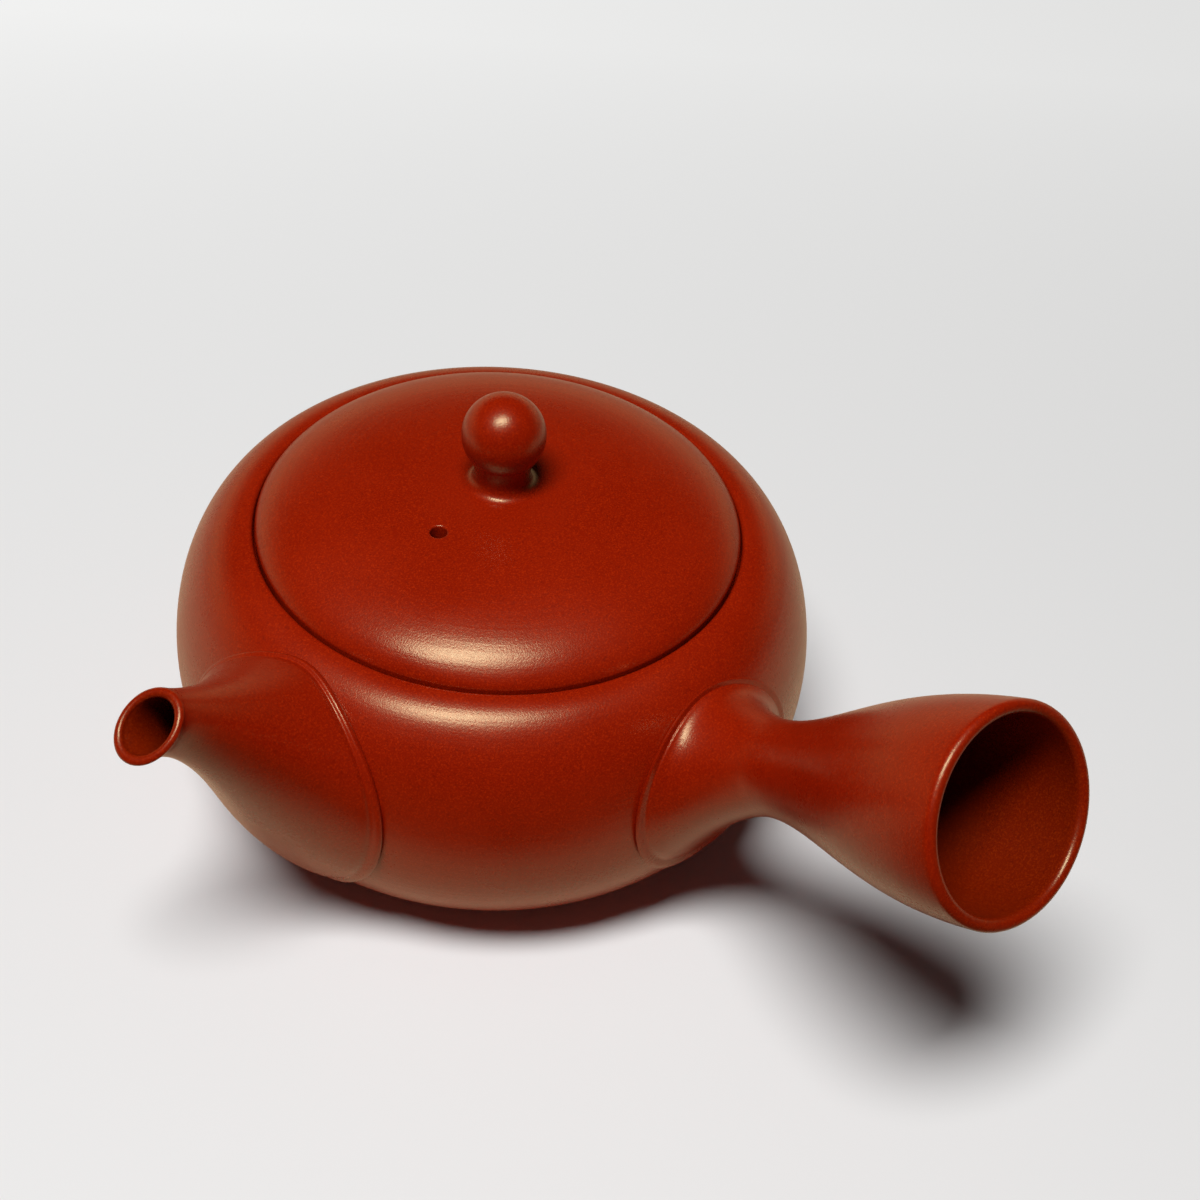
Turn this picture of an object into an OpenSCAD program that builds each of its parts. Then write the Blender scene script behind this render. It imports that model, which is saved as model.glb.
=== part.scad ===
// Side-handled teapot thrown in unglazed red clay. The bowl carries a luted spout,
// a hollow luted handle and a domed strainer. The lid with its ball knob lifts off.
// Millimetres. The foot stands on z = 0, z is the bowl's axis, the spout points along -x.

/* [Bowl] */
// Largest outside diameter of the bowl
bowl_d = 112; // [100:1:130]
// Height of the widest ring above the table
belly_z = 27; // [23:0.5:31]
// Diameter of the flat foot
foot_d = 62; // [50:1:72]
// Height of the shoulder round the lid
shoulder_z = 52; // [49:0.5:58]
// Fullness of the curve from the widest ring down to the foot, where 2 is an ellipse
lower_fullness = 2.1; // [1.8:0.05:2.6]
// Fullness of the curve from the widest ring up to the shoulder
upper_fullness = 1.95; // [1.8:0.05:2.4]
// Thickness of the thrown wall at the widest ring
wall = 3.2; // [2.4:0.1:4.4]
// Thickness of the floor
floor_t = 4; // [3:0.1:6]

/* [Lid seat] */
// Depth of the flat ledge below the shoulder
seat_depth = 3; // [2:0.1:4]
// Width of the flat ledge
ledge_w = 5; // [3.5:0.1:7]
// Thickness of the clay under the ledge
ledge_t = 3; // [2:0.1:4.5]
// Rounding of the shoulder's and the ledge's inner edges
edge_round = 0.8; // [0.4:0.1:1.2]

/* [Lid] */
// Diameter of the lid's plate as a share of the bowl's diameter
lid_share = 0.736; // [0.66:0.002:0.78]
// Gap between the lid's edge and the seat's wall
lid_gap = 0.4; // [0.3:0.05:0.8]
// Rise of the dome above the lid's edge
dome_h = 8; // [6:0.1:12]
// Fullness of the dome's edge, where 2 is an ellipse
dome_fullness = 1.5; // [1.3:0.05:2.2]
// Flatness of the dome's crown, where 2 is an ellipse
crown_fullness = 4; // [2:0.1:5]
// Thickness of the lid at its crown
lid_wall = 3.2; // [2.4:0.1:4.4]
// Depth of the flange that reaches into the mouth
flange_h = 7; // [4:0.5:9]
// Thickness of the flange
flange_wall = 2.6; // [2:0.1:3.5]
// Gap between the flange and the bowl's mouth
flange_gap = 0.6; // [0.4:0.05:1]
// Diameter of the steam hole
vent_d = 2.8; // [2:0.1:3.6]
// Distance of the steam hole from the lid's axis
vent_reach = 16.8; // [12:0.2:24]
// Turn of the steam hole from the spout, seen from above
vent_angle = 2.5; // [-180:0.5:180]

/* [Knob] */
// Diameter of the knob's ball
ball_d = 14; // [11:0.2:18]
// Height of the ball's centre above the lid
ball_z = 9.8; // [8.8:0.1:13]
// Diameter of the stem just under the ball as a share of the ball's
stem_top_share = 0.8; // [0.68:0.01:0.86]
// Diameter of the stem where it is narrowest
stem_d = 9.3; // [8:0.1:10]
// Diameter of the stem's foot on the lid
stem_foot_d = 13.4; // [11:0.1:15]
// Height of the fillet at the stem's foot
stem_fillet = 2; // [1:0.1:2.6]

/* [Spout] */
// Height of the seam's lowest point as a share of the shoulder's height
spout_low_share = 0.184; // [0.1:0.002:0.28]
// Height of the seam's highest point as a share of the shoulder's height
spout_high_share = 0.99; // [0.88:0.002:0.99]
// Distance of the mouth's centre outside the bowl's widest ring
spout_out = 20.6; // [16:0.2:28]
// Height of the mouth's centre above the shoulder
spout_above = 9.4; // [5:0.2:14]
// Outside width of the spout at its mouth
spout_tip_d = 10; // [8:0.1:13]
// Wall of the spout at its mouth
spout_tip_wall = 1.3; // [1:0.1:2]
// Angle between the bowl's side and the spout's flank at the seam
spout_rise_angle = 41; // [30:1:55]
// Length of the flank that keeps this angle as a share of the seam's radius
spout_flank_share = 0.84; // [0.6:0.01:1.1]
// Length of the slender end that keeps its width as a share of the spout's length
spout_neck_share = 0.39; // [0.25:0.01:0.5]
// How far the neck draws in before the mouth as a share of the mouth's width
spout_waist_share = 0.53; // [0.2:0.01:0.65]
// Fullness that the underside gains a third of the way along as a share of its depth
spout_chin_share = 0.6; // [0:0.01:0.7]
// Slope of the spout's run at its mouth
spout_tip_angle = 4.5; // [-10:0.5:25]
// Length over which the run bends to that slope
spout_bend = 6.7; // [4:0.1:12]
// Slope of the line that stands square on the cut mouth
spout_cut_angle = 57; // [45:1:70]
// Length over width of the slanting mouth
spout_oval_ratio = 1.18; // [1:0.01:1.3]

/* [Handle] */
// Angle from the spout to the handle, seen from above
handle_turn_angle = 81.1; // [70:0.1:100]
// Height of the seam's lowest point as a share of the shoulder's height
handle_low_share = 0.272; // [0.18:0.002:0.34]
// Height of the seam's highest point as a share of the shoulder's height
handle_high_share = 0.948; // [0.86:0.002:0.99]
// Distance of the neck's centre outside the bowl's widest ring
neck_out = 10; // [8:0.1:16]
// Depth of the neck's centre below the shoulder
neck_below = 7.2; // [3:0.2:11]
// Outside diameter of the neck
neck_d = 15.3; // [12:0.1:18]
// Angle between the bowl's side and the flare at the seam
handle_rise_angle = 30; // [20:1:45]
// Length of the flare that keeps this angle as a share of the seam's radius
handle_flank_share = 0.34; // [0.2:0.01:0.5]
// Length of the neck that keeps its width as a share of the flare's length
neck_share = 0.28; // [0.15:0.01:0.4]
// Length over which the run bends to the handle's slope
handle_bend = 10.5; // [6:0.5:14]
// Slope of the handle
handle_slope_angle = 31.2; // [20:0.1:40]
// Length from the neck to the open end
handle_len = 43.2; // [30:0.2:60]
// Outside diameter of the open end
handle_end_d = 32.1; // [24:0.1:38]
// How much the trumpet's swell is drawn from halfway towards the neck
handle_swell_share = 0.4; // [0:0.05:1]
// Slope of the line that stands square on the open end
handle_cut_angle = 29.9; // [15:0.1:45]
// Turn of the open end towards the spout, seen from above
handle_end_angle = 5; // [0:0.5:10]
// Wall of the handle
handle_wall = 2; // [1.6:0.1:2.8]

/* [Luted joints] */
// Width of the clay seam under the spout and the handle
seam_w = 4; // [3:0.1:5.5]
// Rounding of the seam's edge, which stands proud of the bowl
seam_edge = 0.7; // [0.3:0.1:1.2]
// Film of slip between luted pieces
slip = 0.05; // [0.03:0.01:0.1]

/* [Strainer] */
// Step from the spout's bore in to the hole through the bowl
port_step = 4.5; // [2:0.1:6]
// Clear space between that hole and the strainer's inside
strainer_lap = 2; // [1:0.1:3.5]
// Thickness of the strainer
strainer_wall = 2; // [1.5:0.1:2.6]
// Diameter of one strainer hole
hole_d = 1.5; // [1:0.1:1.8]
// Rings of holes round the middle one
hole_rings = 5; // [3:1:5]
// Angle from the middle hole to the outermost ring
hole_spread_angle = 57; // [45:1:66]

/* [Hidden] */
clay = [0.56, 0.16, 0.06];
// Holes that each ring of the strainer adds, and sides of one hole
ring_holes = 6;
hole_sides = 24;
// Segments of a round profile, sides of a lofted ring, and rings along a loft
arc_steps = 14;
sides = 40;
flare_steps = 14;
trumpet_steps = 12;
lip_steps = 6;
seam_steps = 3;
edge_steps = 3;
$fn = 180;

bowl_r = bowl_d / 2;
foot_r = foot_d / 2;
lid_r = bowl_r * lid_share;
seat_r = lid_r + lid_gap;
shoulder_r = seat_r + edge_round;
ledge_z = shoulder_z - seat_depth;
mouth_r = seat_r - ledge_w;
flange_r = mouth_r - flange_gap;
stem_foot_r = stem_foot_d / 2;
lid_ease = edge_round / 2;
// The knob's flat foot takes a flat seat of its own width on the dome
seat_turn = acos(pow(stem_foot_r / lid_r, crown_fullness / 2));
knob_z = shoulder_z + dome_h * pow(sin(seat_turn), 2 / dome_fullness);

function cubic(a, b, c, d, t) =
    a * pow(1 - t, 3) + b * 3 * t * pow(1 - t, 2) + c * 3 * t * t * (1 - t) + d * pow(t, 3);
function quadratic(a, b, c, t) = a * pow(1 - t, 2) + b * 2 * t * (1 - t) + c * t * t;
function heading(slope) = [cos(slope), sin(slope)];
function reversed(list) = [for (i = [len(list) - 1:-1:0]) list[i]];
function arc(centre, r, from, to) =
    [for (i = [0:lip_steps]) centre + r * heading(from + (to - from) * i / lip_steps)];

// Quarter of a superellipse from its widest point to its far end
function quarter(wide, far, fullness) =
    [for (i = [0:arc_steps]) let (t = 90 * i / arc_steps)
        [far.x + (wide.x - far.x) * pow(cos(t), 2 / fullness),
         wide.y + (far.y - wide.y) * pow(sin(t), 2 / fullness)]];

// Dome from its edge up to the crown, or up to a share of the turn
function dome(r, foot, rise, turn = 90) =
    [for (i = [0:arc_steps]) let (t = turn * i / arc_steps)
        [r * pow(cos(t), 2 / crown_fullness), foot + rise * pow(sin(t), 2 / dome_fullness)]];

// Radius of the bowl's outside at a height
function quarter_r(wide, far, share, fullness) =
    far + (wide - far) * pow(1 - pow(share, fullness), 1 / fullness);
function bowl_r_at(z) = z > belly_z
    ? quarter_r(bowl_r, shoulder_r, (z - belly_z) / (shoulder_z - belly_z), upper_fullness)
    : quarter_r(bowl_r, foot_r, (belly_z - z) / belly_z, lower_fullness);

// Distance of the bowl's outside from a side view's plane, with a film of slip on it
function on_bowl(y, z) = sqrt(pow(bowl_r_at(z) + slip, 2) - y * y);

// Slope of the bowl's side across a seam
function seam_slope(z, r) = atan2(on_bowl(0, z - r) - on_bowl(0, z + r), 2 * r);

bowl_outside = concat(
    reversed(quarter([bowl_r, belly_z], [foot_r, 0], lower_fullness)),
    quarter([bowl_r, belly_z], [shoulder_r, shoulder_z], upper_fullness));
function bowl_inside(shrink = 0) = concat(
    reversed(quarter([bowl_r - wall - shrink, belly_z], [mouth_r, ledge_z - ledge_t], upper_fullness)),
    quarter([bowl_r - wall - shrink, belly_z], [foot_r, floor_t], lower_fullness));
bowl_mouth = concat(
    arc([shoulder_r, shoulder_z - edge_round], edge_round, 90, 180),
    [[seat_r, ledge_z]],
    arc([mouth_r + edge_round, ledge_z - edge_round], edge_round, 90, 180));

// Spout's frame: x runs outwards along the spout and z up
spout_seam_r = shoulder_z * (spout_high_share - spout_low_share) / 2;
spout_seam_z = shoulder_z * (spout_high_share + spout_low_share) / 2;
spout_tip_r = spout_tip_d / 2;
spout_seam_angle = seam_slope(spout_seam_z, spout_seam_r);
spout_base = [on_bowl(spout_seam_r, spout_seam_z), spout_seam_z];
spout_tip = [bowl_r + spout_out, shoulder_z + spout_above];
port_d = 2 * (spout_seam_r - seam_w - port_step);
strainer_d = port_d + 2 * (strainer_lap + strainer_wall);

// Handle's frame: x runs outwards along the handle and z up
handle_seam_r = shoulder_z * (handle_high_share - handle_low_share) / 2;
handle_seam_z = shoulder_z * (handle_high_share + handle_low_share) / 2;
neck_r = neck_d / 2;
handle_end_r = handle_end_d / 2;
handle_seam_angle = seam_slope(handle_seam_z, handle_seam_r);
handle_base = [on_bowl(handle_seam_r, handle_seam_z), handle_seam_z];
neck = [bowl_r + neck_out, shoulder_z - neck_below];
handle_end = neck + handle_len * heading(handle_slope_angle);

// Point of a flare's flank, as its distance along the run and its distance from it
function flank(seam_r, tip_r, run, rise, flank_share, tip_share, waist, t) = cubic(
    [0, seam_r],
    [flank_share * sin(rise) * seam_r, (1 - flank_share * cos(rise)) * seam_r],
    [run * (1 - tip_share), tip_r * (1 - waist)],
    [run, tip_r], t);

// A loft's ring is [centre x, centre z, half width, height above the centre, depth below it, slope,
// lean, radius at the seam, turn about the upright]. Lean is the ring's share of the saddle that lays
// the seam on the bowl, which is 1 at the seam and 0 far out.
function ring_points(ring, base, slope) = [for (i = [0:sides - 1])
    let (
        turn = 360 * i / sides,
        up = (turn < 180 ? ring[3] : ring[4]) * sin(turn),
        out = -up * sin(ring[5]),
        across = ring[2] * cos(turn),
        seam_up = ring[7] * sin(turn),
        seam_x = on_bowl(ring[7] * cos(turn), base.y + seam_up * cos(slope)),
        saddle = seam_x - base.x + seam_up * sin(slope)
    )
    [ring[0] + out * cos(ring[8]) - across * sin(ring[8]) + ring[6] * saddle,
     out * sin(ring[8]) + across * cos(ring[8]),
     ring[1] + up * cos(ring[5])]];

// Closed wall of a luted tube: rings run round the seam's edge, out along the outside, over the lip,
// back along the bore and under the seam to the start
module loft(rings, base, slope) {
    count = len(rings);
    points = [for (ring = rings) each ring_points(ring, base, slope)];
    faces = [for (j = [0:count - 1], i = [0:sides - 1])
        let (
            next = (i + 1) % sides,
            a = j * sides,
            b = ((j + 1) % count) * sides
        )
        each [[a + i, b + i, a + next], [a + next, b + i, b + next]]];
    polyhedron(points, faces);
}

// Rings over a half-round lip between an outer and an inner radius
function lip(centre, outer_r, inner_r, oval, slope, turn_out) = [for (i = [1:lip_steps - 1])
    let (
        turn = 180 * i / lip_steps,
        half = (outer_r - inner_r) / 2,
        r = inner_r + half + half * cos(turn),
        c = centre + half * sin(turn) * heading(slope)
    )
    [c.x, c.y, r, r * oval, r * oval, slope, 0, outer_r, turn_out]];

// Rings under the clay seam, from the bore out to the edge
function seam(base, seam_r, slope) = [for (i = [1:seam_steps - 1])
    let (r = seam_r - seam_w + (seam_w - seam_edge) * i / seam_steps)
    [base.x, base.y, r, r, r, slope, 1, r, 0]];

// Rings round the seam's edge, from the bowl up to the foot of the flank
function edge(base, seam_r, slope) = [for (i = [0:edge_steps - 1])
    let (
        turn = 90 * i / edge_steps,
        r = seam_r - seam_edge * (1 - sin(turn)),
        c = base + seam_edge * (1 - cos(turn)) * heading(slope)
    )
    [c.x, c.y, r, r, r, slope, 1, r, 0]];

// Skins start a lift above the bowl, which is the edge's height outside and nothing in the bore.
// The mouth's slant and oval come in towards the tip as the cube of the share of the run.
// The chin's weight is 1 a third of the way along, and 0 at both ends.
function spout_skin(seam_r, tip_r, lift) = [for (i = [0:flare_steps])
    let (
        start = spout_base + lift * heading(spout_seam_angle),
        run = norm(spout_tip - start),
        p = flank(seam_r, tip_r, run, spout_rise_angle, spout_flank_share, spout_neck_share,
            spout_waist_share, i / flare_steps),
        share = p.x / run,
        bend = spout_tip - spout_bend * heading(spout_tip_angle),
        c = quadratic(start, bend, spout_tip, share),
        cut = pow(share, 3),
        slope = spout_seam_angle + (spout_cut_angle - spout_seam_angle) * cut,
        above = p.y * (1 + (spout_oval_ratio - 1) * cut),
        chin = share * pow(1 - share, 2) * 27 / 4,
        below = above * (1 + spout_chin_share * chin)
    )
    [c.x, c.y, p.y, above, below, slope, pow(1 - share, 2), seam_r, 0]];

function handle_skin(seam_r, tip_r, lift) = [for (i = [0:flare_steps])
    let (
        start = handle_base + lift * heading(handle_seam_angle),
        run = norm(neck - start),
        p = flank(seam_r, tip_r, run, handle_rise_angle, handle_flank_share, neck_share,
            0, i / flare_steps),
        share = p.x / run,
        bend = neck - handle_bend * heading(handle_slope_angle),
        c = quadratic(start, bend, neck, share),
        slope = handle_seam_angle + (handle_slope_angle - handle_seam_angle) * share
    )
    [c.x, c.y, p.y, p.y, p.y, slope, pow(1 - share, 2), seam_r, 0]];

function trumpet(from_r, to_r) = [for (i = [1:trumpet_steps])
    let (
        share = i / trumpet_steps,
        c = neck + share * handle_len * heading(handle_slope_angle),
        early = share * (1 + handle_swell_share) / (1 + handle_swell_share * share),
        r = from_r + (to_r - from_r) * (1 - cos(180 * early)) / 2,
        cut = pow(share, 3),
        slope = handle_slope_angle + (handle_cut_angle - handle_slope_angle) * cut
    )
    [c.x, c.y, r, r, r, slope, 0, from_r, -handle_end_angle * cut]];

// Places a child's z axis on the spout's run at the bowl, pointing out of the bowl
module on_port(centre) {
    rotate([0, 0, 180])
        translate([centre.x, 0, centre.y])
            rotate([0, 90 - spout_seam_angle, 0])
                children();
}

module bowl() {
    color(clay)
        difference() {
            rotate_extrude()
                polygon(concat([[0, 0]], bowl_outside, bowl_mouth, bowl_inside(), [[0, floor_t]]));
            on_port(spout_base)
                cylinder(h = port_d, d = port_d, center = true);
        }
}

module spout() {
    inner_r = spout_tip_r - spout_tip_wall;
    color(clay)
        rotate([0, 0, 180])
            loft(concat(
                edge(spout_base, spout_seam_r, spout_seam_angle),
                spout_skin(spout_seam_r, spout_tip_r, seam_edge),
                lip(spout_tip, spout_tip_r, inner_r, spout_oval_ratio, spout_cut_angle, 0),
                reversed(spout_skin(spout_seam_r - seam_w, inner_r, 0)),
                seam(spout_base, spout_seam_r, spout_seam_angle)),
                spout_base, spout_seam_angle);
}

module handle() {
    bore_r = neck_r - handle_wall;
    inner_r = handle_end_r - handle_wall;
    color(clay)
        rotate([0, 0, 180 + handle_turn_angle])
            loft(concat(
                edge(handle_base, handle_seam_r, handle_seam_angle),
                handle_skin(handle_seam_r, neck_r, seam_edge),
                trumpet(neck_r, handle_end_r),
                lip(handle_end, handle_end_r, inner_r, 1, handle_cut_angle, -handle_end_angle),
                reversed(trumpet(bore_r, inner_r)),
                reversed(handle_skin(handle_seam_r - seam_w, bore_r, 0)),
                seam(handle_base, handle_seam_r, handle_seam_angle)),
                handle_base, handle_seam_angle);
}

module lid() {
    bore_r = flange_r - flange_wall;
    top = dome(lid_r, shoulder_z, dome_h, seat_turn);
    under = reversed(dome(bore_r, ledge_z, seat_depth + dome_h - lid_wall));
    rim = [[bore_r, ledge_z - flange_h], [flange_r, ledge_z - flange_h], [flange_r, ledge_z],
        [lid_r - lid_ease, ledge_z], [lid_r, ledge_z + lid_ease]];
    color(clay)
        difference() {
            rotate_extrude()
                polygon(concat(rim, top, [[0, knob_z]], under));
            rotate([0, 0, 180 + vent_angle])
                translate([vent_reach, 0, ledge_z])
                    cylinder(h = seat_depth + dome_h, d = vent_d);
        }
}

module lid_knob() {
    stem_r = stem_d / 2;
    stem_top_r = ball_d * stem_top_share / 2;
    join_z = ball_z - sqrt(pow(ball_d / 2, 2) - pow(stem_top_r, 2));
    fillet = [for (i = [0:lip_steps]) let (t = 90 * i / lip_steps)
        [stem_foot_r - (stem_foot_r - stem_r) * sin(t), stem_fillet * (1 - cos(t))]];
    color(clay)
        translate([0, 0, knob_z])
            union() {
                rotate_extrude()
                    polygon(concat([[0, 0]], fillet, [[stem_top_r, join_z], [0, join_z]]));
                translate([0, 0, ball_z])
                    sphere(d = ball_d);
            }
}

module strainer() {
    ball = [bowl_r_at(spout_seam_z) - wall, spout_seam_z];
    inside_r = strainer_d / 2 - strainer_wall;
    ring_angle = hole_spread_angle / hole_rings;
    color(clay)
        intersection() {
            rotate_extrude()
                polygon(concat([[0, ledge_z - ledge_t]], bowl_inside(slip), [[0, floor_t]]));
            on_port(ball)
                rotate([180, 0, 0])
                    difference() {
                        sphere(d = strainer_d);
                        sphere(r = inside_r);
                        for (k = [0:hole_rings], j = [0:max(ring_holes * k, 1) - 1])
                            rotate([0, k * ring_angle, 360 * j / max(ring_holes * k, 1)])
                                translate([0, 0, inside_r - strainer_wall])
                                    cylinder(h = 3 * strainer_wall, d = hole_d, $fn = hole_sides);
                    }
        }
}

bowl();
spout();
handle();
lid();
lid_knob();
strainer();
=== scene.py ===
import math

import bmesh
import bpy
from mathutils import Euler, Matrix, Vector


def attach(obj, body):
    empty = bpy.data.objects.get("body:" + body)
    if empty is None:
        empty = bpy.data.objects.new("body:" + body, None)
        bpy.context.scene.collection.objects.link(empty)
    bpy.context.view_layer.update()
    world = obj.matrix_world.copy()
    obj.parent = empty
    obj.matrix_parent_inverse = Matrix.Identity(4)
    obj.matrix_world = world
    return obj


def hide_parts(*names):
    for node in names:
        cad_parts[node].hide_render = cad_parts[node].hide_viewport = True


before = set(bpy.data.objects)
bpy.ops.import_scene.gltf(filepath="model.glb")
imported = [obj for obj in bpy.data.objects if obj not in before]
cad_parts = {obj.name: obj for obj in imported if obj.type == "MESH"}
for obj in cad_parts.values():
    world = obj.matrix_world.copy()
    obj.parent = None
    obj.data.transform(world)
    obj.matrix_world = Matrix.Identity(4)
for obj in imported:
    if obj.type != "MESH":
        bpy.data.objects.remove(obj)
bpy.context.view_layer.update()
mm = 0.001
print("frame loaded:", sorted(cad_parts))


# small helpers

def cosd(a):
    return math.cos(math.radians(a))


def sind(a):
    return math.sin(math.radians(a))


def steps(count, first=0):
    return [i / count for i in range(first, count + 1)]


def arc(cx, cy, r, start, end, count=8):
    turns = [start + (end - start) * s for s in steps(count)]
    return [(cx + r * cosd(a), cy + r * sind(a)) for a in turns]


def quarter(wide, far, fullness, count=40, flatness=None):
    # quarter of a superellipse from its widest point to its far end
    out = []
    for s in steps(count):
        c, d = max(cosd(90 * s), 0.0), sind(90 * s)
        across = c ** (2 / (flatness or fullness))
        out.append((far[0] + (wide[0] - far[0]) * across, wide[1] + (far[1] - wide[1]) * d ** (2 / fullness)))
    return out


def spread(a, b, count):
    return [(a[0] + (b[0] - a[0]) * s, a[1] + (b[1] - a[1]) * s) for s in steps(count)]


def meshObject(name, points, faces):
    mesh = bpy.data.meshes.new(name)
    mesh.from_pydata([tuple(c * mm for c in p) for p in points], [], faces)
    mesh.update()
    piece = bpy.data.objects.new(name, mesh)
    bpy.context.scene.collection.objects.link(piece)
    return piece


def asPlainMesh(piece):
    # bakes the modifiers of a piece into its mesh and takes them off
    deps = bpy.context.evaluated_depsgraph_get()
    baked = bpy.data.meshes.new_from_object(
        piece.evaluated_get(deps), preserve_all_data_layers=True, depsgraph=deps)
    piece.modifiers.clear()
    piece.data = baked
    baked.name = piece.name


def oneMaterial(piece, clay):
    piece.data.materials.clear()
    piece.data.materials.append(clay)
    piece.data.polygons.foreach_set("material_index", [0] * len(piece.data.polygons))


weldGap = 1e-7  # points closer than this, in metres, are one point


def faceOut(piece):
    bm = bmesh.new()
    bm.from_mesh(piece.data)
    bmesh.ops.remove_doubles(bm, verts=bm.verts, dist=weldGap)
    bmesh.ops.recalc_face_normals(bm, faces=bm.faces)
    bm.to_mesh(piece.data)
    bm.free()


def smooth(piece, angle=42):
    piece.data.shade_smooth()
    piece.data.set_sharp_from_angle(angle=math.radians(angle))


def dropObject(piece):
    mesh = piece.data
    bpy.data.objects.remove(piece)
    bpy.data.meshes.remove(mesh)


# node helpers, for shapes and materials alike

def link(tree, a, b):
    tree.links.new(a, b)


def mathNode(tree, operation, a, b=None):
    n = tree.nodes.new("ShaderNodeMath")
    n.operation = operation
    for i, v in enumerate((a, b)):
        if v is None:
            continue
        if isinstance(v, (int, float)):
            n.inputs[i].default_value = v
        else:
            link(tree, v, n.inputs[i])
    return n.outputs[0]


def newTree(name, inputs):
    tree = bpy.data.node_groups.new(name, "GeometryNodeTree")
    tree.interface.new_socket("Geometry", in_out="OUTPUT", socket_type="NodeSocketGeometry")
    ids = {}
    for label, kind, value in inputs:
        s = tree.interface.new_socket(label, in_out="INPUT", socket_type=kind)
        if value is not None:
            s.default_value = value
        ids[label] = s.identifier
    return tree, tree.nodes.new("NodeGroupInput"), tree.nodes.new("NodeGroupOutput"), ids


def shaderGroup(name, inputs, outputs):
    group = bpy.data.node_groups.new(name, "ShaderNodeTree")
    for label, kind, value in inputs:
        s = group.interface.new_socket(label, in_out="INPUT", socket_type=kind)
        if value is not None:
            s.default_value = value
    for label, kind in outputs:
        group.interface.new_socket(label, in_out="OUTPUT", socket_type=kind)
    return group, group.nodes.new("NodeGroupInput"), group.nodes.new("NodeGroupOutput")


def noiseNode(tree, vector, scale, detail=3.0, rough=0.55):
    n = tree.nodes.new("ShaderNodeTexNoise")
    n.inputs["Scale"].default_value = scale
    n.inputs["Detail"].default_value = detail
    n.inputs["Roughness"].default_value = rough
    link(tree, vector, n.inputs["Vector"])
    return n.outputs[0]


def rampNode(tree, value, low, high):
    n = tree.nodes.new("ShaderNodeMapRange")
    n.inputs["From Min"].default_value = low
    n.inputs["From Max"].default_value = high
    link(tree, value, n.inputs["Value"])
    return n.outputs[0]


def towards(tree, vector, azimuth):
    # how far a vector reaches in one direction on the table
    n = tree.nodes.new("ShaderNodeVectorMath")
    n.operation = "DOT_PRODUCT"
    link(tree, vector, n.inputs[0])
    n.inputs[1].default_value = (cosd(azimuth), sind(azimuth), 0)
    return n.outputs["Value"]


def mixTone(tree, mask, a, b):
    # a and b are plain colours or another node's output
    n = tree.nodes.new("ShaderNodeMix")
    n.data_type = "RGBA"
    link(tree, mask, n.inputs["Factor"])
    for label, v in (("A", a), ("B", b)):
        if isinstance(v, tuple):
            n.inputs[label].default_value = (*v, 1)
        else:
            link(tree, v, n.inputs[label])
    return n.outputs["Result"]


# wheel-thrown pieces: a profile turned about the axis, with faint rings left by the wheel

axisClear = 2  # millimetres round the axis that the wheel leaves unmarked
weldRing = 1e-6  # closes the seam of a turned piece, in metres
closest = 0.004  # nearest that two points of a profile stand, in millimetres


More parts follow.
